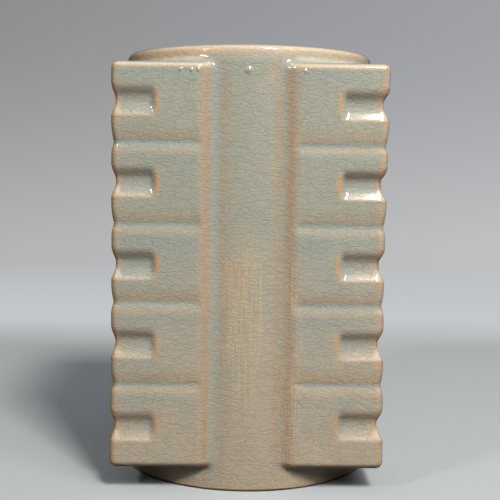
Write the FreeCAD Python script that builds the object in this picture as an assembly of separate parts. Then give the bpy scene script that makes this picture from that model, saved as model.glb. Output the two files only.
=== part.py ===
import FreeCAD, Part
import math
import os

# Square vase on the plan of a cong: a round clay tube with four squared, tiered corner
# prisms luted to it, a round mouth rim above, a round foot ring below and a floor disc
# let into the foot. Millimetres, +Z up, front face towards -Y, origin at the centre of
# the foot's underside. Four narrow upright strips of the tube stay bare between the
# prisms, flush with the mouth rim and the foot ring.

# Whole vase
prism_span = 123.8        # across two opposite flat faces
prism_height = 181.3      # underside to shelf
foot_height = 11.0        # from the table to the prisms' underside
neck_height = 7.7         # from the prisms' shelf to the top of the lip

# Tube and the bare strips of it that show between the prisms
strip_recess = 1.6        # how far a strip's middle lies behind the flat faces
strip_width = 34.4        # from one prism's wall to the next
tube_wall = 7.0

# Luted joints: lapped steps at both ends of the tube, filled with slip
lap_height = 3.3
lap_wall_share = 0.5      # share of the wall that the inner step takes
slip_gap = 0.1            # slip left between two curved faces

# Mouth rim
lip_outer_round = 2.5
lip_inner_round = 3.2

# Foot ring and floor
foot_rim_width = 6.2      # unglazed ring that stands on the table
foot_edge_round = 1.0
floor_ledge = 4.0         # how far the foot ring reaches in under the floor disc
floor_thickness = 7.5

# Tiers of the corner prisms
tier_count = 5
bottom_tier_extra = 1.8   # how much taller the lowest tier is than the others
notch_length = 20.0       # along each face, from the arris
notch_height = 9.6
notch_depth = 2.6
notch_end_round = 1.6     # corners of the notch, seen from the front
notch_lip_round = 1.1
notch_floor_round = 1.1
groove_depth = 0.6        # shallow line between two tiers
groove_radius = 2.2

# Rounded edges of the corner prisms
arris_round = 2.2
strip_edge_round = 1.6
shelf_edge_round = 1.5
underside_edge_round = 1.5

overrun = 5.0             # how far every cutter reaches past the clay
same_length = 0.005       # two lengths that differ by less are taken as the same

# Heights and radii that follow from the sizes above
half_span = prism_span / 2
half_strip = strip_width / 2
tube_radius = half_span - strip_recess
strip_reach = math.sqrt(tube_radius ** 2 - half_strip ** 2)
strip_step = half_span - strip_reach
shelf_z = foot_height + prism_height
rim_top_z = shelf_z + neck_height
tube_bore = tube_radius - tube_wall
lap_radius = tube_bore + tube_wall * lap_wall_share
lap_top_z = foot_height + lap_height
floor_z = lap_top_z - floor_thickness
notch_end = half_span - notch_length
tier_pitch = (prism_height - bottom_tier_extra) / tier_count

# A rounding never takes more than this share of the wall, height, depth or upright round
# that it lies in
round_limit_share = 0.49

# Each corner is a quarter turn on from the one before, starting in the +X +Y quarter
corners = ["back_right", "back_left", "front_left", "front_right"]


def limited(radius, *walls):
    """The rounding radius, held to its share of the thinnest wall beside it."""
    return min(radius, round_limit_share * min(walls))


def turned(points):
    """Solid of revolution about Z. Each entry is (r, z), or (r, z, through_r, through_z)
    for an arc to (r, z) through the second point."""
    edges = []
    here = FreeCAD.Vector(points[0][0], 0, points[0][1])
    for entry in list(points[1:]) + [points[0][:2]]:
        there = FreeCAD.Vector(entry[0], 0, entry[1])
        if len(entry) == 4:
            through = FreeCAD.Vector(entry[2], 0, entry[3])
            edges.append(Part.Arc(here, through, there).toShape())
        else:
            edges.append(Part.LineSegment(here, there).toShape())
        here = there
    face = Part.Face(Part.Wire(edges))
    return face.revolve(FreeCAD.Vector(0, 0, 0), FreeCAD.Vector(0, 0, 1), 360)


def quarter_through(centre_r, centre_z, radius, sign_r, sign_z):
    """Middle point of a quarter round about (centre_r, centre_z)."""
    reach = radius * math.sqrt(0.5)
    return centre_r + sign_r * reach, centre_z + sign_z * reach


def body_tube():
    """Straight tube from foot seam to shelf level, its inner half cut back at each end."""
    return turned([
        (tube_radius, foot_height),
        (tube_radius, shelf_z),
        (lap_radius, shelf_z),
        (lap_radius, shelf_z - lap_height),
        (tube_bore, shelf_z - lap_height),
        (tube_bore, lap_top_z),
        (lap_radius, lap_top_z),
        (lap_radius, foot_height),
    ])


def mouth_rim():
    """Low neck with a rounded lip, and a tongue that laps down inside the tube."""
    outer = limited(lip_outer_round, tube_wall, neck_height)
    inner = limited(lip_inner_round, tube_wall, neck_height)
    outer_mid = quarter_through(tube_radius - outer, rim_top_z - outer, outer, 1, 1)
    inner_mid = quarter_through(tube_bore + inner, rim_top_z - inner, inner, -1, 1)
    tongue = lap_radius - slip_gap
    return turned([
        (tube_bore, shelf_z - lap_height),
        (tongue, shelf_z - lap_height),
        (tongue, shelf_z),
        (tube_radius, shelf_z),
        (tube_radius, rim_top_z - outer),
        (tube_radius - outer, rim_top_z) + outer_mid,
        (tube_bore + inner, rim_top_z),
        (tube_bore, rim_top_z - inner) + inner_mid,
    ])


def foot_ring():
    """Ring the vase stands on: a bevelled inner face, a ledge under the floor disc and a
    tongue that laps up inside the tube."""
    edge = limited(foot_edge_round, foot_rim_width, foot_height)
    edge_mid = quarter_through(tube_radius - edge, edge, edge, 1, -1)
    tongue = lap_radius - slip_gap
    return turned([
        (tube_radius, foot_height),
        (tongue, foot_height),
        (tongue, lap_top_z),
        (tube_bore, lap_top_z),
        (tube_bore, floor_z),
        (tube_bore - floor_ledge, floor_z),
        (tube_radius - foot_rim_width, 0),
        (tube_radius - edge, 0),
        (tube_radius, edge) + edge_mid,
    ])


def floor_disc():
    """Flat disc dropped onto the foot ring's ledge, its top level with the lap."""
    return Part.makeCylinder(tube_bore - slip_gap, floor_thickness,
                             FreeCAD.Vector(0, 0, floor_z))


def corner_outline(reach, rounding, back):
    """Square corner block seen from above, from `back` out to `reach` on X and on Y,
    with its one outer corner rounded."""
    middle = reach - rounding + rounding * math.sqrt(0.5)
    points = [
        FreeCAD.Vector(back, back, 0),
        FreeCAD.Vector(reach, back, 0),
        FreeCAD.Vector(reach, reach - rounding, 0),
        FreeCAD.Vector(reach - rounding, reach, 0),
        FreeCAD.Vector(back, reach, 0),
    ]
    edges = [
        Part.LineSegment(points[0], points[1]).toShape(),
        Part.LineSegment(points[1], points[2]).toShape(),
        Part.Arc(points[2], FreeCAD.Vector(middle, middle, 0), points[3]).toShape(),
        Part.LineSegment(points[3], points[4]).toShape(),
        Part.LineSegment(points[4], points[0]).toShape(),
    ]
    return Part.Face(Part.Wire(edges))


def raised(face, z_low, z_high):
    """The flat outline carried straight up between two heights."""
    solid = face.extrude(FreeCAD.Vector(0, 0, z_high - z_low))
    solid.translate(FreeCAD.Vector(0, 0, z_low))
    return solid


def rounded(solid, radius, wanted):
    """Round each straight or curved edge that `wanted` picks by its middle point."""
    picked = [edge for edge in solid.Edges if wanted(middle_of(edge))]
    return solid.makeFillet(radius, picked)


def middle_of(edge):
    """Point half way along an edge."""
    return edge.valueAt((edge.FirstParameter + edge.LastParameter) / 2)


def near(one, other):
    """True for two lengths that are the same apart from rounding."""
    return abs(one - other) < same_length


def plain_prism():
    """Corner prism before its tiers are cut, with a hollow back that fits the tube."""
    strip_edge = limited(strip_edge_round, strip_step)
    block = raised(corner_outline(half_span, arris_round, half_strip), foot_height, shelf_z)
    block = rounded(block, strip_edge, is_strip_edge)
    hollow = Part.makeCylinder(tube_radius + slip_gap, prism_height + 2 * overrun,
                               FreeCAD.Vector(0, 0, foot_height - overrun))
    block = block.cut(hollow)
    upright_rounds = (2 * strip_edge, 2 * arris_round)
    shelf = limited(shelf_edge_round, *upright_rounds)
    underside = limited(underside_edge_round, *upright_rounds)
    block = rounded(block, shelf, lambda p: is_rim(p, shelf_z))
    return rounded(block, underside, lambda p: is_rim(p, foot_height))


def is_strip_edge(point):
    """Upright edge where a flat face turns in towards the bare strip."""
    return (near(point.x, half_strip) and near(point.y, half_span)
            or near(point.y, half_strip) and near(point.x, half_span))


def is_rim(point, height):
    """Edge round the shelf or the underside, leaving out the one against the tube."""
    against_tube = near(math.hypot(point.x, point.y), tube_radius + slip_gap)
    return near(point.z, height) and not against_tube


def notch_heights():
    """Height of the middle of each tier, the lowest first."""
    lowest = foot_height + (tier_pitch + bottom_tier_extra) / 2
    first_whole = foot_height + bottom_tier_extra + tier_pitch / 2
    return [lowest] + [first_whole + tier_pitch * step for step in range(1, tier_count)]


def groove_heights():
    """Height of each line between two tiers."""
    first = foot_height + bottom_tier_extra + tier_pitch
    return [first + tier_pitch * step for step in range(tier_count - 1)]


def notch_cutter(height):
    """Clay taken out round the arris at one height: a square ring as deep as the notch,
    its ends rounded as seen from the front."""
    low = height - notch_height / 2
    high = height + notch_height / 2
    outside = raised(corner_outline(half_span + overrun, overrun / 2, notch_end), low, high)
    ends = limited(notch_end_round, notch_height)
    outside = rounded(outside, ends, lambda p: is_notch_end(p, low, high))
    core = raised(corner_outline(half_span - notch_depth, arris_round, notch_end - overrun),
                  low - overrun, high + overrun)
    return outside.cut(core)


def is_notch_end(point, low, high):
    """Level edge at a notch's inner end."""
    level = near(point.z, low) or near(point.z, high)
    return level and (near(point.x, notch_end) or near(point.y, notch_end))


def groove_cutter(height):
    """Two round bars along the flat faces that leave one shallow line round the prism."""
    out = half_span - groove_depth + groove_radius
    length = half_span + overrun
    along_x = Part.makeCylinder(groove_radius, length, FreeCAD.Vector(0, out, height),
                                FreeCAD.Vector(1, 0, 0))
    along_y = Part.makeCylinder(groove_radius, length, FreeCAD.Vector(out, 0, height),
                                FreeCAD.Vector(0, 1, 0))
    return along_x.fuse(along_y)


def plan_depth(point, reach):
    """How far a point lies inside the outline of that reach, seen from above."""
    centre = reach - arris_round
    if point.x > centre and point.y > centre:
        return arris_round - math.hypot(point.x - centre, point.y - centre)
    return reach - max(point.x, point.y)


def is_notch_lip(point, height):
    """Edge where the notch at that height opens into the outer faces."""
    inside = abs(point.z - height) < notch_height / 2 + same_length
    return inside and near(plan_depth(point, half_span), 0)


def is_notch_floor(point, height):
    """Edge where the notch's floor meets its roof, its sill or one of its two ends."""
    inside = abs(point.z - height) < notch_height / 2 + same_length
    on_floor = near(plan_depth(point, half_span - notch_depth), 0)
    floor_seam = near(point.z, height) and not near(min(point.x, point.y), notch_end)
    return inside and on_floor and not floor_seam


def notched(prism, height):
    """The prism with one notch cut, its floor and its lip rounded."""
    prism = prism.cut(notch_cutter(height))
    floor_round = limited(notch_floor_round, notch_depth, notch_height)
    lip_round = limited(notch_lip_round, notch_depth, notch_height, 2 * arris_round)
    prism = rounded(prism, floor_round, lambda p: is_notch_floor(p, height))
    return rounded(prism, lip_round, lambda p: is_notch_lip(p, height))


def corner_prism():
    """One tiered prism, made in the +X +Y corner."""
    prism = plain_prism()
    for height in notch_heights():
        prism = notched(prism, height)
    for height in groove_heights():
        prism = prism.cut(groove_cutter(height))
    return prism


def placed(solid, turns):
    """The solid turned about Z by whole quarter turns."""
    copy = solid.copy()
    copy.rotate(FreeCAD.Vector(0, 0, 0), FreeCAD.Vector(0, 0, 1), 90 * turns)
    return copy


def single(shape):
    """The one solid a shape holds."""
    return shape.Solids[0] if len(shape.Solids) == 1 else shape


def build():
    """Every piece of the vase under its node name."""
    nodes = {
        "foot_ring": foot_ring(),
        "floor_disc": floor_disc(),
        "body_tube": body_tube(),
        "mouth_rim": mouth_rim(),
    }
    prism = corner_prism()
    for turns, corner in enumerate(corners):
        nodes["corner_prism_" + corner] = placed(prism, turns)
    return nodes


os.makedirs("parts", exist_ok=True)
for name, shape in build().items():
    shape = single(shape)
    shape.exportStep(os.path.join("parts", name + ".step"))
    print(name, len(shape.Solids), "solid", round(shape.Volume), "mm3", shape.isValid())
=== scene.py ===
"""A square vase on the plan of a cong: round tube, mouth and foot, four tiered corner prisms,
under a thick crackled celadon glaze. Lengths are metres, the front face looks along -Y."""

import math

import bpy
import numpy as np
from bpy.props import FloatProperty, FloatVectorProperty, PointerProperty
from mathutils import Matrix, Vector


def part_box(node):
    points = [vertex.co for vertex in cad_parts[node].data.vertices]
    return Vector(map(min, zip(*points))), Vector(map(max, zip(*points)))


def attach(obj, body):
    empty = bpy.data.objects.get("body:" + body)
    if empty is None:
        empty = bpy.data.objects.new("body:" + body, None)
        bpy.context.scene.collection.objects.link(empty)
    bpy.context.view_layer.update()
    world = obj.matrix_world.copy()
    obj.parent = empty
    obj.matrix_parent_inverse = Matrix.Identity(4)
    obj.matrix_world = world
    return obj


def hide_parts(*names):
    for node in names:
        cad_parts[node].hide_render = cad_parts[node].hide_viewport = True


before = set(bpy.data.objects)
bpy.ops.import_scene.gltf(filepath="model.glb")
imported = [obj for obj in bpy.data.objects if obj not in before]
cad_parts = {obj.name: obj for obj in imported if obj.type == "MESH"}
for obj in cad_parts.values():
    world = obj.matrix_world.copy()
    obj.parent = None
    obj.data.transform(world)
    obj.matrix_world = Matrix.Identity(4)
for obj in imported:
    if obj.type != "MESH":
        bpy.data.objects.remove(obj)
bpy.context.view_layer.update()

bl_info = {
    "name": "Square Vase",
    "version": (1, 0, 0),
    "blender": (4, 5, 0),
    "location": "3D View > Sidebar > Vase",
    "description": "Builds a celadon square vase with four tiered corner prisms",
    "category": "Add Mesh",
}

MM = 0.001
BODY = "root"

# Settings that several nodes share
SMOOTH = {"interpolation_type": "SMOOTHSTEP"}
COLOURS = {"data_type": "RGBA"}

# Sizes that come from the frame
half_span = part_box("corner_prism_back_right")[1].x
strip_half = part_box("corner_prism_back_right")[0].x
foot_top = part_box("corner_prism_back_right")[0].z
shelf_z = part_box("corner_prism_back_right")[1].z
tube_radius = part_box("body_tube")[1].x
rim_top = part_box("mouth_rim")[1].z
floor_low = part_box("floor_disc")[0].z
floor_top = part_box("floor_disc")[1].z
floor_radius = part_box("floor_disc")[1].x
slip_gap = 0.1 * MM
bore_radius = floor_radius + slip_gap

# Slant of the wall between a prism's face and the strip beside it, how much of the hand's
# unevenness the thrown tube has, and the angle past which an edge is shaded as sharp
WALL_DRAFT = math.radians(45)
TUBE_WAVE = 0.4
CREASE = math.radians(42)

# Tiers, counted from the bottom
tier_count = 5
bottom_tier_extra = 1.8 * MM
tier_pitch = (shelf_z - foot_top - bottom_tier_extra) / tier_count
tier_start = foot_top + bottom_tier_extra
groove_heights = [tier_start + tier_pitch * k for k in range(1, tier_count)]
notch_heights = [foot_top + (tier_pitch + bottom_tier_extra) / 2]
notch_heights += [tier_start + tier_pitch * (k + 0.5) for k in range(1, tier_count)]

# Where each prism stands, and what the potter's hand did to it: how far its notches and
# grooves went up or down and how deep its front or back notches are, from the lowest tier up,
# how much further in the notches end, all in mm, how deep the side notches are as a share, and
# how many mm the side face draws in at the top
PRISMS = {
    "back_right": dict(side=(1, 1), notches=(0.2, -0.3, 0.4, -0.1, 0.3), reach=0.3,
                       grooves=(0.3, -0.2, 0.1, -0.3), depths=(2.1, 2.3, 2.0, 2.2, 2.1),
                       side_share=1.1, draw_in=0.4),
    "back_left": dict(side=(-1, 1), notches=(-0.3, 0.2, 0.1, 0.4, -0.2), reach=0.5,
                      grooves=(-0.2, 0.4, -0.1, 0.2), depths=(2.2, 2.0, 2.3, 2.1, 2.0),
                      side_share=1.0, draw_in=0.2),
    "front_left": dict(side=(-1, -1), notches=(-0.9, -0.1, -0.7, 0.1, -0.2), reach=0.0,
                       grooves=(0.1, 1.2, 0.3, 0.4), depths=(2.1, 2.1, 2.2, 2.2, 2.1),
                       side_share=0.92, draw_in=1.1),
    "front_right": dict(side=(1, -1), notches=(0.1, -0.4, -0.7, -0.5, -1.5), reach=0.9,
                        grooves=(0.4, 0.2, -0.2, -0.6), depths=(2.15, 2.1, 2.2, 2.45, 2.2),
                        side_share=1.3, draw_in=0.1),
}

# Small beads and drips of glaze that catch the light: place in mm, radius in mm, and height
# in crackle depths
GLAZE_BEADS = [
    (-0.8, -60.3, 188.8, 2.5, 6.7),
    (-14.7, -60.0, 192.4, 1.3, 3.5),
    (-22.6, -61.6, 188.6, 1.4, 3.8),
    (-25.8, -61.6, 188.5, 1.4, 3.8),
    (-30.5, -61.6, 188.6, 1.4, 3.8),
    (24.0, -61.6, 188.4, 1.4, 3.8),
    (32.5, -61.7, 23.6, 0.7, 2.2),
]


def linear_colour(text):
    """sRGB hex turned into linear red, green and blue."""
    values = np.array([int(text[i:i + 2], 16) for i in (0, 2, 4)]) / 255
    lin = np.where(values <= 0.04045, values / 12.92, ((values + 0.055) / 1.055) ** 2.4)
    return tuple(float(v) for v in lin)


def length(name, text, millimetres):
    """A length that the user can change, shown in Blender's units."""
    return FloatProperty(name=name, description=text, default=millimetres * MM,
                         min=0.0, subtype="DISTANCE", unit="LENGTH")


def colour(name, text, hexa):
    """A colour that the user can change."""
    return FloatVectorProperty(name=name, description=text, default=linear_colour(hexa),
                               min=0.0, max=1.0, size=3, subtype="COLOR")


def power(name, text, watts):
    """A lamp's power that the user can change."""
    return FloatProperty(name=name, description=text, default=watts, min=0.0, unit="POWER")


class VaseRelief(bpy.types.PropertyGroup):
    """Sizes of the softened clay relief under the glaze."""
    waist: length("Waist", "How much the prisms draw in at half height", 0.7)
    notch_end: length("Notch end", "From the middle of a side to a notch's inner end", 42.1)
    notch_end_run: length("Notch end run", "Width of the slope at a notch's inner end", 4.6)
    roof_bend: length("Roof bend", "From a notch's deepest line up to its steepest", 3.9)
    roof_rise: length("Roof rise", "From that line up to where the face is level again", 8.2)
    sill_bend: length("Sill bend", "From the deepest line down to its steepest", 4.0)
    sill_wane: length("Sill wane", "From that line down to where the sill turns over", 6.2)
    sill_drop: length("Sill drop", "From that line down to where the face is level again", 7.4)
    deepest_lift: length("Deepest line", "Height of that line above the notch's middle", 1.1)
    groove_depth: length("Groove depth", "Depth of the line between two tiers", 1.1)
    groove_above: length("Groove above", "How far a face bends in above that line", 9.0)
    groove_below: length("Groove below", "How far a face bends in below that line", 6.0)
    groove_bottom: length("Groove bottom", "Rounding at the bottom of that line", 0.8)
    arris_round: length("Arris rounding", "Rounding of the corners and level edges", 3.1)
    notch_arris_round: length("Notch arris rounding", "The same where a notch crosses", 1.7)
    strip_edge_round: length("Strip edge rounding", "Rounding beside the bare strips", 3.4)
    strip_fill: length("Strip fill", "Glaze pooled where a prism meets a strip", 2.8)
    strip_margin: length("Strip margin", "How far a prism's glaze runs onto a strip", 9.0)
    neck_fill: length("Neck fill", "Glaze pooled where the shelf meets the neck", 3.6)
    lip_lean: length("Lip lean", "How far the neck leans in up to the lip", 0.9)
    hand_wave: length("Hand wave", "Unevenness of the hand-made surface", 0.2)
    lip_round: length("Lip rounding", "Outer rounding of the lip", 2.1)
    lip_inner_round: length("Inner lip rounding", "Inner rounding of the lip", 2.8)
    foot_edge: length("Foot edge", "Rounding of the foot's outer edge", 0.5)
    foot_rim: length("Foot rim", "Width of the ring that stands on the table", 6.2)
    foot_ledge: length("Foot ledge", "How far the foot ring reaches in under the floor", 4.0)


class VaseGlaze(bpy.types.PropertyGroup):
    """Colours of the celadon glaze and of painted light and shade on it, sizes of its crackle."""
    cool: colour("Cool celadon", "Thick glaze, grey green", "9fa092")
    warm: colour("Warm celadon", "Thick glaze where the kiln left it buff", "b1a591")
    thin: colour("Thin glaze", "Glaze thinned over an edge, tan", "bda184")
    break_through: colour("Edge break", "Orange clay showing through on sharp edges", "b87f4a")
    # Painted light: laid on thin edges that face up and on the neck over each shelf
    upper: colour("Upper edge", "Cream of a thin edge that faces up", "d2c1aa")
    pooled: colour("Pooled glaze", "Glaze run thick in a hollow, blue grey", "949d97")
    # Painted shade where surfaces face down, partly glaze under a roof; also grit in the foot clay
    shade_and_grit: colour("Dark line", "Brown line where glaze gathers under a roof", "684c33")
    blush: colour("Blush", "Buff bands on the bare strips", "b0957a")
    tan: colour("Tan patch", "Patches where the glaze was wiped thin", "cc9d6b")
    rubbed: colour("Rubbed glaze", "Fine upright scuffs", "c0b092")
    crack: colour("Crackle line", "Stain in the crackle", "7b7264")
    clay: colour("Foot clay", "Bare fired clay under the foot", "54402f")
    inside: colour("Inner glaze", "Glaze inside the vase", "9d9d8a")
    wide_cell: length("Wide crackle", "Width of the large crackle cells", 5.0)
    fine_cell: length("Fine crackle", "Width of the small crackle cells", 2.7)
    crackle_depth: length("Crackle depth", "Depth of the crackle's lines, drawn coarse", 0.1)


class VaseStage(bpy.types.PropertyGroup):
    """The sweep that the vase stands on and the lamps round it."""
    floor_near: colour("Floor in front", "Pale blue grey floor near the camera", "b8bdc1")
    # Painted light: the floor is made paler behind the vase, where less lamp light reaches
    floor_far: colour("Floor behind", "The same floor behind the vase", "d4dbdf")
    floor_bounce: colour("Floor bounce", "The grey with which the floor lights the vase", "625f5c")
    # Painted light and shade: further back the sweep glows in these colours, dimmer left and top
    floor_seen: colour("Distant floor", "Floor behind as the camera sees it", "c3c8ca")
    mid_left: colour("Middle left", "Sweep behind the vase on the left", "b1b2b4")
    mid_right: colour("Middle right", "Sweep behind the vase on the right", "c0c1c3")
    far_left: colour("Far left", "Backdrop at the upper left", "8d8d8f")
    far_right: colour("Far right", "Backdrop at the upper right", "9fa0a5")
    around: colour("Room", "What the camera sees past the sweep", "b4b6b8")
    key_power: power("Key lamp", "Power of the front right lamp", 19.0)
    card_power: power("Right card", "Power of the dim card at the right", 1.7)
    left_power: power("Left lamp", "Power of the small left lamp", 3.0)
    ambient: FloatProperty(name="Ambient", description="Strength of the room light overhead",
                           default=0.33, min=0.0)


def eased(t):
    """Quintic ease from 0 to 1: six t to the fifth, less fifteen t to the fourth, plus ten t
    cubed."""
    t = np.clip(t, 0, 1)
    return t * t * t * (t * (6 * t - 15) + 10)


def slope(x, grown, waning, end):
    """0 up to x = 0, rising to 1 at `end`: the area under a steepness that grows evenly up to
    `grown`, stays, and wanes evenly from `waning` on, as a share of the whole area."""
    first = np.clip(x, 0, grown)
    even = np.clip(x - grown, 0, waning - grown)
    last = np.clip(x - waning, 0, end - waning)
    area = first ** 2 / (2 * grown) + even + last - last ** 2 / (2 * (end - waning))
    return area / ((end + waning - grown) / 2)


def blurred(values, half_width, spacing):
    """Values along a line, averaged under a raised cosine of that half width."""
    count = int(half_width / spacing)
    weights = 1 + np.cos(np.linspace(-math.pi, math.pi, 2 * count + 1))
    padded = np.pad(values, count, mode="edge")
    return np.convolve(padded, weights / weights.sum(), mode="valid")


def lean(z, relief):
    """How far the neck leans in above the shelf: straight in the middle, with bent ends."""
    rise = rim_top - shelf_z
    return relief.lip_lean * slope(z - shelf_z, rise / 4, rise * 3 / 4, rise)


def filled(one, other, width):
    """Filled inner corner of two distances: the smaller of them, less a parabola where they
    differ by under `width`."""
    share = np.maximum(width - np.abs(one - other), 0) / width
    return np.minimum(one, other) - share ** 2 * width / 4


def rounded_together(planes, radius):
    """Rounded outer corner of several planes: each is moved in by the radius, the lengths
    that stick out are added as squares, and the radius comes off the root."""
    inner = [plane + radius for plane in planes]
    highest = np.maximum.reduce(inner)
    total = sum(np.maximum(plane, 0) ** 2 for plane in inner)
    return np.minimum(highest, 0) + np.sqrt(total) - radius


def hand_wave(x, y, z):
    """Slow unevenness between -1 and 1: three sine waves 40 to 90 mm long, averaged."""
    first = np.sin(x / (13 * MM) + z / (17 * MM) + 0.7)
    second = np.sin(y / (11 * MM) - z / (23 * MM) + 2.1)
    third = np.sin((x - y) / (9 * MM) + z / (8 * MM) + 4.0)
    return (first + second + 0.6 * third) / 2.6


class Outline:
    """The whole outside of the vase as one softened distance, with one prism's own relief."""

    def __init__(self, prism, relief):
        self.side = prism["side"]
        self.relief = relief
        spacing = 0.02 * MM
        self.heights = np.arange(0, rim_top, spacing)
        self.notches = np.zeros_like(self.heights)
        for height, lift, depth in zip(notch_heights, prism["notches"], prism["depths"]):
            above = self.heights - height - lift * MM - relief.deepest_lift
            roof = slope(above, relief.roof_bend, relief.roof_bend, relief.roof_rise)
            sill = slope(-above, relief.sill_bend, relief.sill_wane, relief.sill_drop)
            self.notches += depth * MM * (1 - roof - sill)
        grooves = np.zeros_like(self.heights)
        for height, lift in zip(groove_heights, prism["grooves"]):
            above = self.heights - height - lift * MM
            end = np.where(above > 0, relief.groove_above, relief.groove_below)
            grooves += relief.groove_depth * np.maximum(1 - np.abs(above) / end, 0) ** 2
        self.grooves = blurred(grooves, relief.groove_bottom, spacing)
        self.notch_end = relief.notch_end - prism["reach"] * MM
        self.side_share = prism["side_share"]
        self.draw_in = prism["draw_in"] * MM

    def cut(self, along, z):
        """Depth that notches and grooves take off a face, `along` being the distance from
        the middle of that side, and the notches' share of it. A notch is a slope above and
        one below its deepest line, and a groove is a parabola on each side, blurred. Both end
        in a slope."""
        run = self.relief.notch_end_run
        notch = np.interp(z, self.heights, self.notches)
        groove = np.interp(z, self.heights, self.grooves)
        notch = notch * slope(along - self.notch_end + run / 2, 0.42 * run, 0.58 * run, run)
        line = eased((along - strip_half - 1 * MM) / (6 * MM))
        return notch + groove * line, notch

    def gap(self, points, sink=False):
        """Distance outside the glaze. The prism is the rounded meeting of two faces, shelf and
        underside, and each face has rolled over into a slanted wall beside its strip. It is
        filled against the tube. With `sink`, the tube draws in by 1 in 50 at a prism's
        margin, so that the margin dives under the tube."""
        r = self.relief
        x, y, z = points
        a, b = np.abs(x), np.abs(y)
        wave = r.hand_wave * hand_wave(x, y, z)
        half_height = (shelf_z - foot_top) / 2
        level = (z - foot_top - half_height) / half_height
        reach = half_span - r.waist * np.maximum(1 - level ** 2, 0) + wave - r.hand_wave
        cut_a, notch_a = self.cut(b, z)
        cut_b, notch_b = self.cut(a, z)
        face_a = a - reach + cut_a + (self.side_share - 1) * notch_a
        face_a = face_a + self.draw_in * np.maximum(level, 0) ** 3
        face_b = b - reach + cut_b
        middle = (half_span + math.sqrt(tube_radius ** 2 - strip_half ** 2)) / 2
        across, out = math.cos(WALL_DRAFT), math.sin(WALL_DRAFT)
        wall_a = (strip_half - a) * across + (b - middle) * out
        wall_b = (strip_half - b) * across + (a - middle) * out
        front = rounded_together([face_b, wall_a], r.strip_edge_round)
        side = rounded_together([face_a, wall_b], r.strip_edge_round)
        in_notch = eased(np.minimum(notch_a, notch_b) / (1.6 * MM))
        corner = r.arris_round + (r.notch_arris_round - r.arris_round) * in_notch
        block = rounded_together([front, side, z - shelf_z, foot_top - z], corner)
        radial = np.hypot(x, y) - tube_radius + lean(z, r) - TUBE_WAVE * (wave - r.hand_wave)
        if sink:
            margin = np.maximum(strip_half - r.strip_margin + 1.5 * MM - np.minimum(a, b), 0)
            margin += np.maximum(z - shelf_z - r.neck_fill, 0)
            margin += np.maximum(foot_top - r.strip_fill - z, 0)
            radial = radial + margin / 50
        tube = rounded_together([radial, z - rim_top], r.lip_round)
        tube = rounded_together([tube, -z], r.foot_edge)
        top_share = eased((z - shelf_z + 2 * MM) / (3 * MM))
        top_share = top_share * eased((np.minimum(a, b) - strip_half) / (7 * MM))
        fill = r.strip_fill + (r.neck_fill - r.strip_fill) * top_share
        return filled(tube, block, fill)

    def settle(self, points):
        """Moves a prism's points onto the glaze: each round steps back along the steepest
        way by the gap over the steepness, both found by differences."""
        step, rounds, least_steepness = 0.02 * MM, 7, 0.2
        for _ in range(rounds):
            here = self.gap(points, sink=True)
            uphill = np.empty_like(points)
            for axis in range(3):
                nudge = np.zeros((3, 1))
                nudge[axis] = step
                ahead = self.gap(points + nudge, sink=True)
                behind = self.gap(points - nudge, sink=True)
                uphill[axis] = (ahead - behind) / (2 * step)
            steepness = (uphill ** 2).sum(0)
            points = points - uphill * here / np.maximum(steepness, least_steepness ** 2)
        return points

    def bend(self, points, reach):
        """How the glaze bends, and how far it faces up. The bend is 1 on an edge with a 3 mm
        rounding, 0 on a flat, below 0 in a hollow: the mean gap on a small ball round the
        point, less the gap there. The facing is the gap's change over the ball's height."""
        here = self.gap(points)
        total = np.zeros_like(here)
        corner = math.sqrt(1 / 3)
        ways = [(1, 0, 0), (-1, 0, 0), (0, 1, 0), (0, -1, 0), (0, 0, 1), (0, 0, -1)]
        ways += [(i * corner, j * corner, k * corner)
                 for i in (-1, 1) for j in (-1, 1) for k in (-1, 1)]
        facing = np.zeros_like(here)
        for way in ways:
            there = self.gap(points + reach * np.array(way)[:, None])
            total += there
            if abs(way[2]) == 1:
                facing += way[2] * there / (2 * reach)
        return (total / len(ways) - here) * 6 / reach ** 2 * 3 * MM, facing


def glaze_fields(points, relief):
    """Bend over 1.8 mm and over 4 mm, and facing, for points on all sides, each with the
    relief of the prism in its quarter."""
    fields = np.zeros((3, points.shape[1]))
    for prism in PRISMS.values():
        here = (points[0] * prism["side"][0] >= 0) & (points[1] * prism["side"][1] >= 0)
        if here.any():
            outline = Outline(prism, relief)
            fields[0, here], fields[2, here] = outline.bend(points[:, here], 1.8 * MM)
            fields[1, here] = outline.bend(points[:, here], 4.0 * MM)[0]
    return dict(zip(("bend", "wide_bend", "facing_up"), fields))


def smudge(points, x_mm, z_mm, x_half_mm, z_half_mm):
    """A soft patch on the front: 1 in the middle, eased to 0 at an ellipse's rim."""
    away = np.hypot((points[0] / MM - x_mm) / x_half_mm, (points[2] / MM - z_mm) / z_half_mm)
    return np.where(points[1] < 0, eased(1.5 - away), 0)


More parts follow.
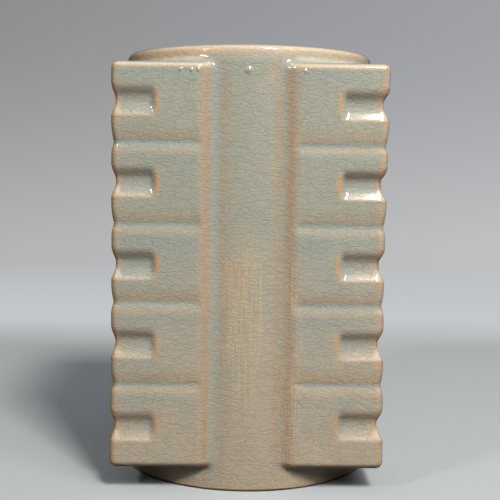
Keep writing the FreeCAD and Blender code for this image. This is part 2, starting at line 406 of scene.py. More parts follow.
def finish_piece(name, points, quads, caps, slot_name, nodes):
    """Puts a closed surface of quads and many-sided caps into a mesh, turned so that its
    volume is positive, with the glaze's bend and patches stored on its vertices, fading to
    nothing over the last 2 mm to the bore, and stands it for its node."""
    loops = np.concatenate([quads.ravel(), *caps])
    sizes = np.array([4] * len(quads) + [len(cap) for cap in caps])
    ends = np.cumsum(sizes)
    starts = ends - sizes
    inside = np.ones(len(loops), bool)
    inside[starts] = False
    inside[ends - 1] = False
    fan = np.repeat(loops[starts], sizes - 2)
    second = loops[inside]
    third = loops[np.flatnonzero(inside) + 1]
    a, b, c = points[:, fan], points[:, second], points[:, third]
    if (a * np.cross(b, c, axis=0)).sum() < 0:
        owner = np.repeat(np.arange(len(starts)), sizes)
        loops = loops[starts[owner] + ends[owner] - 1 - np.arange(len(loops))]
    mesh = bpy.data.meshes.new(name)
    mesh.vertices.add(points.shape[1])
    mesh.vertices.foreach_set("co", points.T.astype(np.float32).ravel())
    mesh.loops.add(len(loops))
    mesh.loops.foreach_set("vertex_index", loops.astype(np.int32))
    mesh.polygons.add(len(starts))
    mesh.polygons.foreach_set("loop_start", starts.astype(np.int32))
    mesh.update(calc_edges=True)
    if mesh.validate():
        raise RuntimeError(name + " had faces that Blender had to mend")
    mesh.shade_smooth()
    mesh.set_sharp_from_angle(angle=CREASE)
    fields = glaze_fields(points, bpy.context.scene.vase_relief) | glaze_patches(points)
    outside = eased((np.hypot(points[0], points[1]) - bore_radius) / (2 * MM))
    for field, values in fields.items():
        layer = mesh.attributes.new(field, "FLOAT", "POINT")
        layer.data.foreach_set("value", (values * outside).astype(np.float32))
    mesh.materials.append(shared_material(slot_name))
    piece = bpy.data.objects.new(name, mesh)
    bpy.context.scene.collection.objects.link(piece)
    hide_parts(*nodes)
    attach(piece, BODY)


def side_across(points):
    """Place across the nearest of the four sides in mm, rightwards as one faces it."""
    x, y = points[0], points[1]
    front_or_back = np.abs(y) > np.abs(x)
    return np.where(front_or_back, np.where(y < 0, x, -x), np.where(x > 0, y, -y)) / MM


def bell(values, middle, width):
    """A bell curve of height 1."""
    return np.exp(-((values - middle) / width) ** 2)


def glaze_patches(points):
    """Where the kiln and the years made the glaze different, and where light is painted on it, as
    shares from 0 to 1.
    rubbed: scuffed in the middle of the front strip, on its right edge low down, and in a
    small place beside it. blush: turned buff in upright bands beside and on each bare strip.
    thick: run thick and blue in each groove, 7 mm below the top of each tier and most in the
    top one, over the middle tiers, and in an upright line beside each strip's left prism.
    tan: thin and tan above each groove, at both ends of each notch, round the lip and most on
    its left, and in places on the front strip and the foot. milky: pale on the neck above each
    prism's shelf, which is painted light, and more faintly round the lip, partly paler glaze and
    partly painted light."""
    across, rise = side_across(points), points[2] / MM
    away = np.abs(across)
    past_strip = away - strip_half / MM
    lines = [height / MM for height in groove_heights]
    rubbed = [smudge(points, -1.5, 75, 8.5, 38), 0.8 * smudge(points, 19.5, 52, 5, 55),
              0.6 * smudge(points, 31, 18, 3, 9)]

    blush = [bell(across, -18.9, 1.8), 0.35 * bell(across, -10.8, 2.8),
             0.8 * bell(across, 13.0, 1.8), bell(across, 18.6, 2.2)]
    ends_of_strip = eased((rise + 5) / 30) * eased((205 - rise) / 25)

    thick = sum(0.3 * bell(rise, z - 7, 4) + 0.4 * bell(rise, z - 0.9, 1.0) for z in lines)
    thick = thick + 0.6 * bell(rise, shelf_z / MM - 6, 4) + 0.4 * bell(rise, 108, 36)
    thick = thick * (0.15 + 0.85 * eased(past_strip / 8))
    line = (0.45 + 0.3 * eased((rise - 120) / 70)) * bell(across, -15.2, 1.4)

    bands = sum(0.25 * bell(rise, z + 3.5, 2.2) + 0.3 * bell(rise, z - 3, 0.8) for z in lines)
    bands = bands * eased(past_strip / 6)
    ends = np.maximum(bell(away, 40.7, 1.3), 0.8 * bell(away, 58.2, 1.5))
    ends = ends * sum(bell(rise, height / MM, 5.0) for height in notch_heights)
    ends = ends * eased((np.hypot(points[0], points[1]) - tube_radius) / (3 * MM))
    places = [0.45 * bell(rise, 196.6, 1.2), smudge(points, -36, 197.1, 26, 1.7),
              0.35 * smudge(points, 9.8, 187, 1.5, 4.5), 0.25 * smudge(points, -5, 95, 5.5, 12),
              0.12 * smudge(points, -1.5, 74, 8, 36), 0.7 * smudge(points, 31, 53, 1.4, 1.0),
              0.1 * smudge(points, -6, 5, 20, 7)]

    # Painted light: the neck above each shelf is made pale
    neck = 0.8 * bell(rise, 194.2, 1.3) * eased(past_strip / 6)
    return {"rubbed": np.maximum.reduce(rubbed),
            "blush": np.maximum.reduce(blush) * ends_of_strip,
            "thick": np.maximum(thick, line),
            "tan": np.maximum.reduce([bands, ends, *places]),
            "milky_and_lit": np.maximum(neck, 0.5 * bell(rise, 198.6, 1.8))}


def closed_grid(rows, columns, ring_rows, ring_columns):
    """Quads over a grid numbered row by row, joined round where a direction is a ring."""
    last_row = rows if ring_rows else rows - 1
    last_column = columns if ring_columns else columns - 1
    i, j = np.meshgrid(np.arange(last_row), np.arange(last_column), indexing="ij")
    i, j = i.ravel(), j.ravel()
    up, on = (i + 1) % rows, (j + 1) % columns
    return np.stack([i * columns + j, i * columns + on, up * columns + on, up * columns + j], 1)


def turned_piece(name, slot_name, node, stretches, around=504, capped=False):
    """A profile carried round the axis: each (r, z) becomes a circle of `around` points. Its
    outer 4 mm are moved by the same slow unevenness and lean as the prisms' margin. A capped
    one starts and ends beside the axis, and is closed there by one small many-sided face
    above and one below."""
    relief = bpy.context.scene.vase_relief
    radius, height = np.array(evenly(stretches)).T
    angle = np.arange(around) * 2 * math.pi / around
    r, t = np.meshgrid(radius, angle, indexing="ij")
    z = np.meshgrid(height, angle, indexing="ij")[0]
    uneven = TUBE_WAVE * relief.hand_wave * (hand_wave(r * np.cos(t), r * np.sin(t), z) - 1)
    r = r + (uneven - lean(z, relief)) * eased((r - tube_radius) / (4 * MM) + 1)
    points = np.stack([r * np.cos(t), r * np.sin(t), z]).reshape(3, -1)
    quads = closed_grid(len(radius), around, not capped, True)
    ring = np.arange(around)
    caps = [ring[::-1], (len(radius) - 1) * around + ring] if capped else []
    finish_piece(name, points, quads, caps, slot_name, [node])


def arc(centre_r, centre_z, radius, first, last, count):
    """Points of an arc in the profile's plane, both ends left in, angles in degrees."""
    angle = np.radians(np.linspace(first, last, count))
    return list(zip(centre_r + radius * np.cos(angle), centre_z + radius * np.sin(angle)))


def upright(radius, low, high, spacing):
    """Evenly spaced points straight up or down at one radius."""
    count = max(int(round(abs(high - low) / spacing)), 1)
    return [(radius, z) for z in np.linspace(low, high, count + 1)]


def level(z, first, last, count):
    """Evenly spaced points level at one height."""
    return [(r, z) for r in np.linspace(first, last, count + 1)]


def evenly(parts):
    """Joins stretches of a profile, leaving out each point that repeats the one before."""
    joined = []
    for part in parts:
        for point in part:
            if not joined or math.dist(point, joined[-1]) > 1e-7:
                joined.append(point)
    if math.dist(joined[0], joined[-1]) < 1e-7:
        joined.pop()
    return joined


def plan_path(relief):
    """The prism's outline seen from above in its own quarter, as columns (a, b): along the
    tube, up the wall, along the face with closer columns at the notches' ends, half way round
    the arris, and the same mirrored."""
    reach = half_span
    start = strip_half - relief.strip_margin
    wall_foot = strip_half - 4 * MM
    wall_head = strip_half + 5 * MM
    arris = reach - relief.arris_round
    along = np.linspace(start, wall_foot, 8)[:-1]
    tube = np.stack([along, np.sqrt(tube_radius ** 2 - along ** 2)])
    foot = math.sqrt(tube_radius ** 2 - wall_foot ** 2)
    rise = np.linspace(0, 1, 17)[:-1]
    wall = np.stack([wall_foot + rise * (wall_head - wall_foot), foot + rise * (reach - foot)])
    near_end, far_end = relief.notch_end - 3 * MM, relief.notch_end + 3 * MM
    before = np.arange(wall_head, near_end, 0.62 * MM)
    at_end = np.arange(near_end, far_end, 0.36 * MM)
    after = np.linspace(far_end, arris, 24)[:-1]
    a = np.concatenate([before, at_end, after])
    face = np.stack([a, np.full_like(a, reach)])
    turn = np.radians(np.linspace(90, 45, 9))
    bow = np.stack([arris + relief.arris_round * np.cos(turn),
                    arris + relief.arris_round * np.sin(turn)])
    half = np.concatenate([tube, wall, face, bow], axis=1)
    return np.concatenate([half, half[::-1, -2::-1]], axis=1)


def row_heights(low, high):
    """Heights of the grid's rows, closer together near notches and grooves: the spacing in mm
    is summed up and read back at even steps."""
    z = np.linspace(low, high, 4000)
    spacing = np.full_like(z, 0.95)
    for heights, near, closer in ((notch_heights, 9.5 * MM, 0.43), (groove_heights, 4.5 * MM, 0.5)):
        for height in heights:
            spacing = np.where(np.abs(z - height) < near, closer, spacing)
    steps = np.concatenate([[0], np.cumsum(np.diff(z) / (spacing[1:] * MM))])
    return np.interp(np.linspace(0, steps[-1], int(steps[-1]) + 1), steps, z)


def level_rows(plan, relief, edge_z, up):
    """First guess for the rows over one level edge and on to the neck or foot: a quarter
    round in 9 rows, then 16 level in to the tube, closer together there, then 7 along it. `up`
    is 1 at the shelf, -1 below."""
    radius = np.hypot(*plan)
    room = radius - tube_radius
    drop = np.minimum(relief.arris_round, room)
    fill = relief.neck_fill if up > 0 else relief.strip_fill
    climb = 0.6 * fill
    shown = []
    for turn in np.linspace(0, math.pi / 2, 10)[1:]:
        sunk = relief.arris_round * (1 - math.sin(turn))
        height = np.full_like(radius, edge_z - up * sunk)
        shown.append((radius - drop * (1 - math.cos(turn)), height))
    for part in np.linspace(0, 1, 17)[1:]:
        inward = 1 - (1 - part) ** 1.7
        lift = climb * inward ** (1 + 4 * np.clip(room / (4 * MM), 0, 1))
        shown.append((radius - drop - (room - drop) * inward, edge_z + up * lift))
    for part in np.linspace(0, 1, 8)[1:]:
        run = climb + part * (fill - climb + 1.0 * MM)
        shown.append((np.full_like(radius, tube_radius), np.full_like(radius, edge_z + up * run)))
    return shown


def prism_piece(corner, prism):
    """One corner prism: a grid whose columns run along the outline seen from above and
    whose rows run up from the foot, over the underside's edge, the faces and the shelf's
    edge to the neck. It is settled onto the softened outline, and closed behind by a strip
    1.2 mm inside the tube's face and a cap at each end."""
    relief = bpy.context.scene.vase_relief
    plan = plan_path(relief)
    radius = np.hypot(*plan)
    margin = relief.arris_round
    rows = level_rows(plan, relief, foot_top, -1)[::-1]
    rows += [(radius, np.full_like(radius, z))
             for z in row_heights(foot_top + margin, shelf_z - margin)]
    rows += level_rows(plan, relief, shelf_z, 1)
    r, z = np.array(rows).transpose(1, 0, 2)
    way = plan / radius * np.array(prism["side"])[:, None]
    points = np.stack([way[0] * r, way[1] * r, z])
    settled = Outline(prism, relief).settle(points.reshape(3, -1)).reshape(points.shape)
    ends = settled[:, [-1, 0], :]
    shrink = (tube_radius - 1.2 * MM) / np.hypot(ends[0], ends[1])
    back = np.stack([ends[0] * shrink, ends[1] * shrink, ends[2]])
    whole = np.concatenate([settled, back], axis=1)
    row_count, columns = whole.shape[1:]
    first = np.arange(row_count) * columns
    finish_piece("corner_prism_glazed_" + corner, whole.reshape(3, -1),
                 closed_grid(row_count, columns, True, False),
                 [first, (first + columns - 1)[::-1]], "glaze", ["corner_prism_" + corner])


def add_node(tree, kind, settings=None, inputs=()):
    """Adds one shader node, gives it its settings, and sets or links its inputs, given by
    name or in order. A node given as an input stands for its first output in use."""
    node = tree.nodes.new("ShaderNode" + kind)
    for key, value in (settings or {}).items():
        setattr(node, key, value)
    for key, value in inputs.items() if isinstance(inputs, dict) else enumerate(inputs):
        if isinstance(value, bpy.types.Node):
            value = next(out for out in value.outputs if out.enabled)
        if isinstance(value, bpy.types.NodeSocket):
            tree.links.new(value, node.inputs[key])
        else:
            node.inputs[key].default_value = value
    return node


def new_material(name, numbers):
    """A node material whose surface shader has those numbers, with the shader's tree."""
    material = bpy.data.materials.new(name)
    material.use_nodes = True
    tree = material.node_tree
    shader = tree.nodes["Principled BSDF"]
    for key, value in numbers.items():
        shader.inputs[key].default_value = value
    return material, tree, shader


def opaque(value):
    """A property's colour with full alpha."""
    return (*value, 1.0)


def place_in_mm(tree):
    """Where a point is on its piece, in mm, so that a pattern's scale is one over its size."""
    place = add_node(tree, "TexCoord").outputs["Object"]
    return add_node(tree, "Mapping", None, {"Vector": place, "Scale": (1000,) * 3})


def celadon_material(name, glaze):
    """Crackled celadon on stoneware: a thick glassy glaze fired over an iron-bearing body.
    It thins to tan and orange over edges and gathers blue grey in hollows. Painted light makes
    thin edges that face up and the neck over each shelf paler, and painted shade makes every
    surface that faces down browner, partly brown glaze gathered under a roof. Below a smooth
    skin it has a net of fine cracks. The skin is the coat, which only the beads bulge: IOR 1.5
    and a roughness near 0.1 are usual for a feldspar glaze. The net, cells 3 to 5 mm wide, is
    flattened a little and bent by noise."""
    material, tree, shader = new_material(name, {
        "Roughness": 0.4, "IOR": 1.5, "Specular IOR Level": 0.15, "Coat Weight": 1.0,
        "Coat Roughness": 0.1, "Coat IOR": 1.5})
    in_mm = place_in_mm(tree)
    part = {}
    for key in ("bend", "wide_bend", "facing_up", "rubbed", "blush", "thick", "tan", "milky_and_lit"):
        part[key] = add_node(tree, "Attribute", {"attribute_name": key}).outputs["Fac"]
    for key, size_mm in (("clouds", 24), ("blotch", 5), ("grain", 1)):
        part[key] = add_node(tree, "TexNoise", None, {"Vector": in_mm, "Scale": 1 / size_mm,
                                                      "Detail": 3, "Roughness": 0.6})
    upright_mm = add_node(tree, "Mapping", None, {"Vector": in_mm, "Scale": (1, 1, 0.02)})
    part["streaks"] = add_node(tree, "TexNoise", None,
                               {"Vector": upright_mm, "Scale": 1 / 0.42, "Detail": 1.0})
    warp = add_node(tree, "TexNoise", None,
                    {"Vector": in_mm, "Scale": 1 / 7, "Detail": 1.0}).outputs["Color"]
    drift = add_node(tree, "VectorMath", {"operation": "MULTIPLY_ADD"}, [warp, (5, 5, 4), in_mm])
    flattened = add_node(tree, "Mapping", None, {"Vector": drift, "Scale": (0.55, 0.55, 1.35)})
    nets = []
    for cell, width, most in ((glaze.wide_cell, 0.06, 1.0), (glaze.fine_cell, 0.1, 0.75)):
        gap = add_node(tree, "TexVoronoi", {"feature": "DISTANCE_TO_EDGE"},
                       {"Vector": flattened, "Scale": MM / cell}).outputs["Distance"]
        nets.append(add_node(tree, "MapRange", None, [gap, 0.0, width, most, 0.0]))
    part["net"] = add_node(tree, "Math", {"operation": "MAXIMUM"}, nets)
    height = add_node(tree, "SeparateXYZ", None, [in_mm]).outputs["Z"]
    part["lower"] = add_node(tree, "MapRange", None, [height, 190.0, 10.0])
    part["speckle"] = add_node(tree, "MapRange", None, [part["grain"], 0.3, 0.7, 0.92, 1.08])

    # Sums of one part, times a number, and another
    for key, first, times, last in (("warmth", "lower", 0.5, "clouds"),
                                    ("uneven", "grain", 1.4, "blotch"),
                                    ("bent", "bend", 0.35, "wide_bend"),
                                    ("edge", "uneven", 0.8, "bent"),
                                    ("crisp", "uneven", 0.8, "bend"),
                                    ("cracks", "net", -0.9, "blotch")):
        part[key] = add_node(tree, "Math", {"operation": "MULTIPLY_ADD"},
                             [part[first], times, part[last]])
    # Shares: a part eased from between two values to between two others
    for key, source, *limits in (("warm", "warmth", 0.5, 1.1, 0.0, 1.0),
                                 ("spots", "blotch", 0.25, 0.65, 0.45, 1.0),
                                 ("thin", "edge", 1.1, 2.6, 0.0, 0.75),
                                 ("sharp", "crisp", 1.85, 3.2, 0.0, 0.55),
                                 ("lip", "edge", 0.9, 1.5, 0.0, 1.0),
                                 # Painted light (up) and painted shade (down), the shade partly
                                 # glaze under a roof
                                 ("up", "facing_up", 0.12, 0.55, 0.0, 0.95),
                                 ("down", "facing_up", -0.12, -0.55, 0.0, 0.5),
                                 ("level", "facing_up", 0.5, 0.8, 0.0, 0.9),
                                 ("hollow", "edge", 0.85, -0.1, 0.0, 0.8),
                                 ("lines", "streaks", 0.5, 0.6, 0.0, 0.85),
                                 ("faint", "blotch", 0.35, 0.65, 0.06, 0.24)):
        part[key] = add_node(tree, "MapRange", SMOOTH, [part[source], *limits])
    # Products of two parts
    for key, first, second in (("buff", "blush", "spots"), ("wiped", "tan", "spots"),
                               # Painted light: the pale neck, with paler glaze round the lip
                               ("ran", "thick", "spots"), ("pale_and_lit", "milky_and_lit", "spots"),
                               # Painted light: thin edges that face up
                               ("lit_edge", "up", "lip"), ("scuffs", "lines", "rubbed"),
                               ("stain", "net", "faint")):
        part[key] = add_node(tree, "Math", {"operation": "MULTIPLY"}, [part[first], part[second]])

    # Colours laid over each other in this order, each by its share
    tint = opaque(glaze.cool)
    for key, over in (("warm", glaze.warm), ("ran", glaze.pooled), ("buff", glaze.blush),
                      ("wiped", glaze.tan), ("thin", glaze.thin), ("sharp", glaze.break_through),
                      # Painted light: the pale upper colour on thin edges that face up
                      ("lit_edge", glaze.upper), ("level", glaze.pooled), ("hollow", glaze.pooled),
                      # Painted light on the neck; painted shade, partly glaze under a roof,
                      # browning faces turned down
                      ("pale_and_lit", glaze.upper), ("down", glaze.shade_and_grit), ("scuffs", glaze.rubbed),
                      ("stain", glaze.crack)):
        tint = add_node(tree, "Mix", COLOURS, {0: part[key], 6: tint, 7: opaque(over)})
    tint = add_node(tree, "VectorMath", {"operation": "SCALE"}, {0: tint, "Scale": part["speckle"]})
    tree.links.new(tint.outputs[0], shader.inputs["Base Color"])

    beads = 0.0
    for *middle_mm, radius, rise in GLAZE_BEADS:
        away = add_node(tree, "VectorMath", {"operation": "DISTANCE"}, [in_mm, middle_mm])
        dome = add_node(tree, "MapRange", SMOOTH, [away.outputs["Value"], 0.0, radius, rise, 0.0])
        beads = add_node(tree, "Math", {"operation": "ADD"}, [beads, dome])
    surface = add_node(tree, "Math", {"operation": "ADD"}, [part["cracks"], beads])
    for socket, shape in (("Normal", surface), ("Coat Normal", beads)):
        bump = add_node(tree, "Bump", None,
                        {"Height": shape, "Strength": 1.0, "Distance": glaze.crackle_depth})
        tree.links.new(bump.outputs[0], shader.inputs[socket])
    return material


def inner_glaze_material(name, glaze):
    """The same celadon run over the floor inside, plainer and without its edge tints, still
    glassy: IOR 1.5, a little rougher than outside."""
    material, tree, shader = new_material(name, {"Roughness": 0.28, "IOR": 1.5})
    clouds = add_node(tree, "TexNoise", None,
                      {"Vector": place_in_mm(tree), "Scale": 1 / 14, "Detail": 3.0})
    patches = add_node(tree, "MapRange", SMOOTH, [clouds, 0.35, 0.65])
    tint = add_node(tree, "Mix", COLOURS,
                    {0: patches, 6: opaque(glaze.inside), 7: opaque(glaze.warm)})
    tree.links.new(tint.outputs[2], shader.inputs["Base Color"])
    return material


def foot_material(name, glaze):
    """The foot ring: the same celadon down to the edge it stands on, and bare iron-rich
    fired clay under it, which looks dry and brown. Glaze IOR 1.5."""
    material = celadon_material(name, glaze)
    tree = material.node_tree
    shader = tree.nodes["Principled BSDF"]
    glazed = shader.inputs["Base Color"].links[0].from_socket
    in_mm = place_in_mm(tree)
    height = add_node(tree, "SeparateXYZ", None, [in_mm]).outputs["Z"]
    wave, grit = (add_node(tree, "TexNoise", None,
                           {"Vector": in_mm, "Scale": 1 / size_mm, "Detail": 4.0})
                  for size_mm in (9, 1.2))
    wavy = add_node(tree, "Math", {"operation": "MULTIPLY_ADD"}, [wave, 0.5, height])
    bare = add_node(tree, "MapRange", SMOOTH, [wavy, 1.5, 0.9])
    gritty = add_node(tree, "MapRange", SMOOTH, [grit, 0.3, 0.7])
    clay = add_node(tree, "Mix", COLOURS,
                    {0: gritty, 6: opaque(glaze.clay), 7: opaque(glaze.shade_and_grit)})
    tint = add_node(tree, "Mix", COLOURS, {0: bare, 6: glazed, 7: clay})
    coated = add_node(tree, "Math", {"operation": "SUBTRACT"}, [1.0, bare])
    tree.links.new(tint.outputs[2], shader.inputs["Base Color"])
    tree.links.new(coated.outputs[0], shader.inputs["Coat Weight"])
    return material


# The name of each slot's material and how it is made
FINISHES = {
    "glaze": ("crackled_celadon_glaze", celadon_material),
    "inner_glaze": ("inner_celadon_glaze", inner_glaze_material),
    "foot_clay": ("glazed_foot_with_bare_clay_rim", foot_material),
}


def shared_material(slot_name):
    """A slot's material, made once, in the user's colours."""
    name, make = FINISHES[slot_name]
    return bpy.data.materials.get(name) or make(name, bpy.context.scene.vase_glaze)


class VASE_OT_add_body_tube(bpy.types.Operator):
    """Adds the glazed tube whose four strips show between the prisms"""
    bl_idname = "vase.add_body_tube"
    bl_label = "Body Tube"

    def execute(self, context):
        """Faint throwing rings inside are a sine wave along the height."""
        rings = 0.35 * MM
        inside = [(bore_radius + rings * math.sin(z / (11 * MM)), z)
                  for z in np.linspace(shelf_z, foot_top, 46)[1:-1]]
        turned_piece("glazed_body_tube", "glaze", "body_tube", [
            upright(tube_radius, foot_top, shelf_z, 1.4 * MM),
            level(shelf_z, tube_radius, bore_radius, 4),
            inside,
            level(foot_top, bore_radius, tube_radius, 4),
        ])
        return {"FINISHED"}


class VASE_OT_add_mouth_rim(bpy.types.Operator):
    """Adds the low neck with its rounded lip"""
    bl_idname = "vase.add_mouth_rim"
    bl_label = "Mouth Rim"

    def execute(self, context):
        relief = context.scene.vase_relief
        outer, inner = relief.lip_round, relief.lip_inner_round
        turned_piece("glazed_mouth_rim", "glaze", "mouth_rim", [
            upright(tube_radius, shelf_z, rim_top - outer, 0.4 * MM),
            arc(tube_radius - outer, rim_top - outer, outer, 0, 90, 14),
            arc(bore_radius + inner, rim_top - inner, inner, 90, 180, 14),
            upright(bore_radius, rim_top - inner, shelf_z, 0.8 * MM),
            level(shelf_z, bore_radius, tube_radius, 4),
        ])
        return {"FINISHED"}


class VASE_OT_add_foot_ring(bpy.types.Operator):
    """Adds the round foot with its bare clay rim"""
    bl_idname = "vase.add_foot_ring"
    bl_label = "Foot Ring"

    def execute(self, context):
        relief = context.scene.vase_relief
        edge = relief.foot_edge
        stand = tube_radius - relief.foot_rim
        ledge = bore_radius - relief.foot_ledge
        bevel = [(stand + (ledge - stand) * t, floor_low * t) for t in np.linspace(0, 1, 7)]
        turned_piece("glazed_foot_ring", "foot_clay", "foot_ring", [
            level(foot_top, bore_radius, tube_radius, 4),
            upright(tube_radius, foot_top, edge, 0.5 * MM),
            arc(tube_radius - edge, edge, edge, 0, -90, 8),
            level(0.0, tube_radius - edge, stand, 6),
            bevel,
            level(floor_low, ledge, bore_radius, 3),
            upright(bore_radius, floor_low, foot_top, 1.0 * MM),
        ])
        return {"FINISHED"}


class VASE_OT_add_floor_disc(bpy.types.Operator):
    """Adds the vase's floor, dished a little where the glaze gathered"""
    bl_idname = "vase.add_floor_disc"
    bl_label = "Floor Disc"

    def execute(self, context):
        centre, dish = 0.5 * MM, 0.8 * MM
        top = [(r, floor_top - dish * (1 - (r / floor_radius) ** 4))
               for r in np.linspace(centre, floor_radius, 30)]
        turned_piece("glazed_floor_disc", "inner_glaze", "floor_disc", [
            top,
            upright(floor_radius, floor_top, floor_low, 1.5 * MM),
            level(floor_low, floor_radius, centre, 29),
        ], around=168, capped=True)
        return {"FINISHED"}


class VASE_OT_add_corner_prisms(bpy.types.Operator):
    """Adds the four tiered corner prisms with their notches, grooves and glaze fills"""
    bl_idname = "vase.add_corner_prisms"
    bl_label = "Corner Prisms"

    def execute(self, context):
        for corner, prism in PRISMS.items():
            prism_piece(corner, prism)
        return {"FINISHED"}


def sweep_material(stage):
    """Pale matt paper sweep. Near the vase it takes light and shadow, and it is painted paler
    further behind, where less lamp light reaches. Further back it glows for the camera with
    painted shade, a grey dimmer to the upper left. It is pale for the camera alone, and throws
    less light back. `climb` is the distance behind the vase along the sweep."""
    material, tree, shader = new_material("pale_paper_sweep",
                                          {"Roughness": 0.9, "Specular IOR Level": 0.1})
    place = add_node(tree, "TexCoord").outputs["Object"]
    across = add_node(tree, "SeparateXYZ", None, [place]).outputs["X"]
    climb = add_node(tree, "Attribute", {"attribute_name": "climb"}).outputs["Fac"]
    share = {}
    for name, kind, source, low, high in (
            ("across", "LINEAR", across, -0.5, 0.5),
            ("back", "LINEAR", climb, -0.12, 0.35),
            ("glow", "SMOOTHSTEP", climb, 0.28, 0.45),
            ("middle", "SMOOTHSTEP", climb, 0.4, 1.05),
            ("far", "SMOOTHSTEP", climb, 1.08, 1.8)):
        share[name] = add_node(tree, "MapRange", {"interpolation_type": kind},
                               [source, low, high])
    tint = {}
    for name, by, first, second in (
            ("floor", "back", opaque(stage.floor_near), opaque(stage.floor_far)),
            ("middle", "across", opaque(stage.mid_left), opaque(stage.mid_right)),
            ("far", "across", opaque(stage.far_left), opaque(stage.far_right)),
            ("low", "middle", opaque(stage.floor_seen), "middle"),
            ("all", "far", "low", "far")):
        tint[name] = add_node(tree, "Mix", COLOURS, {0: share[by], 6: tint.get(first, first),
                                                     7: tint.get(second, second)})
    seen = add_node(tree, "LightPath").outputs["Is Camera Ray"]
    near = add_node(tree, "Mix", COLOURS,
                    {0: seen, 6: opaque(stage.floor_bounce), 7: tint["floor"]})
    tree.links.new(near.outputs[2], shader.inputs["Base Color"])
    glow = add_node(tree, "Emission", None, [tint["all"], 1.0])
    glowing = add_node(tree, "Math", {"operation": "MULTIPLY"}, [seen, share["glow"]])
    blend = add_node(tree, "MixShader", None, [glowing, shader.outputs[0], glow.outputs[0]])
    tree.links.new(blend.outputs[0], tree.nodes["Material Output"].inputs["Surface"])
    return material


def add_lamp(name, place, target, size, watts, tone, glossy=True):
    """A rectangular soft box that looks at the target, seen or not in the glaze's gloss."""
    data = bpy.data.lights.new(name, "AREA")
    data.shape = "RECTANGLE"
    data.size, data.size_y = size
    data.energy = watts
    data.color = linear_colour(tone)
    lamp = bpy.data.objects.new(name, data)
    lamp.location = place
    lamp.rotation_euler = (Vector(target) - Vector(place)).to_track_quat("-Z", "Y").to_euler()
    lamp.visible_glossy = glossy
    bpy.context.scene.collection.objects.link(lamp)


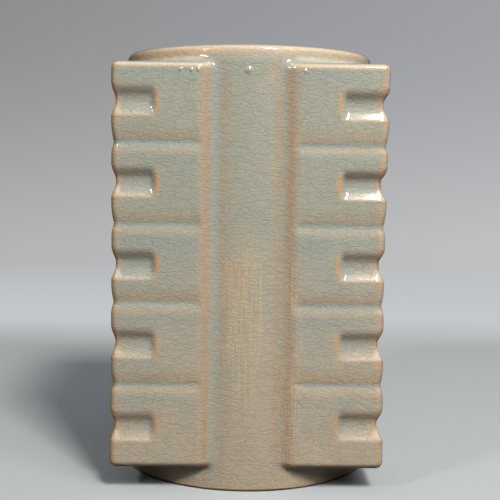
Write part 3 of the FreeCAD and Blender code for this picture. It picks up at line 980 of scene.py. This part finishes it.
class VASE_OT_add_stage(bpy.types.Operator):
    """Adds the sweep, the lamps, the room light and the camera"""
    bl_idname = "vase.add_stage"
    bl_label = "Stage"

    def execute(self, context):
        scene = context.scene
        stage = scene.vase_stage
        self.add_sweep(stage)
        add_lamp("key_lamp", (0.40, -1.03, 1.21), (0, 0, 0.1), (0.25, 0.36),
                 stage.key_power, "fffaf3")
        add_lamp("right_card", (0.29, -0.44, 0.44), (0.03, 0, 0.14), (0.3, 0.3),
                 stage.card_power, "ffffff", glossy=False)
        add_lamp("left_lamp", (-0.75, -0.8, 0.8), (0, 0, 0.1), (0.12, 0.12),
                 stage.left_power, "ffffff")
        world = bpy.data.worlds.new("room_light")
        world.use_nodes = True
        tree = world.node_tree
        way = add_node(tree, "TexCoord").outputs["Generated"]
        rise = add_node(tree, "SeparateXYZ", None, [way]).outputs["Z"]
        strength = add_node(tree, "MapRange", SMOOTH,
                            [rise, 0.0, 1.0, 0.04 * stage.ambient, stage.ambient])
        overhead = tree.nodes["Background"]
        overhead.inputs["Color"].default_value = opaque(linear_colour("eef1f4"))
        tree.links.new(strength.outputs[0], overhead.inputs["Strength"])
        plain = add_node(tree, "Background", None, [opaque(stage.around)])
        seen = add_node(tree, "LightPath").outputs["Is Camera Ray"]
        both = add_node(tree, "MixShader", None, [seen, overhead.outputs[0], plain.outputs[0]])
        tree.links.new(both.outputs[0], tree.nodes["World Output"].inputs["Surface"])
        scene.world = world
        scene.view_settings.view_transform = "Standard"
        self.add_camera(scene)
        return {"FINISHED"}

    def add_sweep(self, stage):
        """Floor, quarter bend and wall: a profile in Y and Z carried along X. The climb of a
        row is its distance behind the vase along that profile."""
        back, bend, top = 1.0, 0.5, 2.6
        flat = [(y, 0.0) for y in np.linspace(-3.0, back, 30)]
        turn = np.radians(np.linspace(-90, 0, 24))
        curve = [(back + bend * math.cos(t), bend + bend * math.sin(t)) for t in turn]
        wall = [(back + bend, z) for z in np.linspace(bend, top, 12)]
        profile = np.array(evenly([flat, curve, wall]))
        climb = np.concatenate([[0], np.cumsum(np.hypot(*np.diff(profile, axis=0).T))])
        climb += profile[0, 0]
        across = np.linspace(-3.0, 3.0, 21)
        x, y = np.meshgrid(across, profile[:, 0])
        z = np.meshgrid(across, profile[:, 1])[1]
        quads = closed_grid(len(profile), len(across), False, False)
        mesh = bpy.data.meshes.new("paper_sweep")
        mesh.from_pydata(np.stack([x, y, z], -1).reshape(-1, 3).tolist(), [], quads.tolist())
        mesh.shade_smooth()
        layer = mesh.attributes.new("climb", "FLOAT", "POINT")
        layer.data.foreach_set("value", np.repeat(climb, len(across)).astype(np.float32))
        mesh.materials.append(sweep_material(stage))
        sweep = bpy.data.objects.new("paper_sweep", mesh)
        bpy.context.scene.collection.objects.link(sweep)

    def add_camera(self, scene):
        """A 72 mm lens on a 36 mm sensor half a metre in front, a little above the middle,
        tilted 5 degrees down and turned and rolled by under a degree."""
        data = bpy.data.cameras.new("camera")
        data.sensor_width = 36.0
        data.lens = 71.74
        camera = bpy.data.objects.new("camera", data)
        pan, tilt, roll = (math.radians(v) for v in (0.617, 4.975, 0.674))
        turn = Matrix.Rotation(-pan, 4, "Z") @ Matrix.Rotation(math.pi / 2 - tilt, 4, "X")
        turn = turn @ Matrix.Rotation(roll, 4, "Z")
        camera.matrix_world = Matrix.Translation((-4.06 * MM, -500.2 * MM, 148.2 * MM)) @ turn
        scene.collection.objects.link(camera)
        scene.camera = camera


class VASE_PT_panel(bpy.types.Panel):
    """Lists the vase's pieces, sizes and colours in the sidebar"""
    bl_idname = "VASE_PT_panel"
    bl_label = "Square Vase"
    bl_space_type = "VIEW_3D"
    bl_region_type = "UI"
    bl_category = "Vase"

    def draw(self, context):
        for operator in OPERATORS:
            self.layout.operator(operator.bl_idname)
        for name in GROUPS:
            group = getattr(context.scene, name)
            box = self.layout.box()
            for key in group.__annotations__:
                box.prop(group, key)


GROUPS = {"vase_relief": VaseRelief, "vase_glaze": VaseGlaze, "vase_stage": VaseStage}
OPERATORS = [
    VASE_OT_add_foot_ring,
    VASE_OT_add_floor_disc,
    VASE_OT_add_body_tube,
    VASE_OT_add_mouth_rim,
    VASE_OT_add_corner_prisms,
    VASE_OT_add_stage,
]
CLASSES = [*GROUPS.values(), *OPERATORS, VASE_PT_panel]


def register():
    for cls in CLASSES:
        bpy.utils.register_class(cls)
    for name, group in GROUPS.items():
        setattr(bpy.types.Scene, name, PointerProperty(type=group))


def unregister():
    for name in GROUPS:
        delattr(bpy.types.Scene, name)
    for cls in reversed(CLASSES):
        bpy.utils.unregister_class(cls)


def main():
    """Registers the add-on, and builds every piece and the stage."""
    register()
    bpy.ops.vase.add_foot_ring()
    bpy.ops.vase.add_floor_disc()
    bpy.ops.vase.add_body_tube()
    bpy.ops.vase.add_mouth_rim()
    bpy.ops.vase.add_corner_prisms()
    bpy.ops.vase.add_stage()


if __name__ == "__main__":
    main()
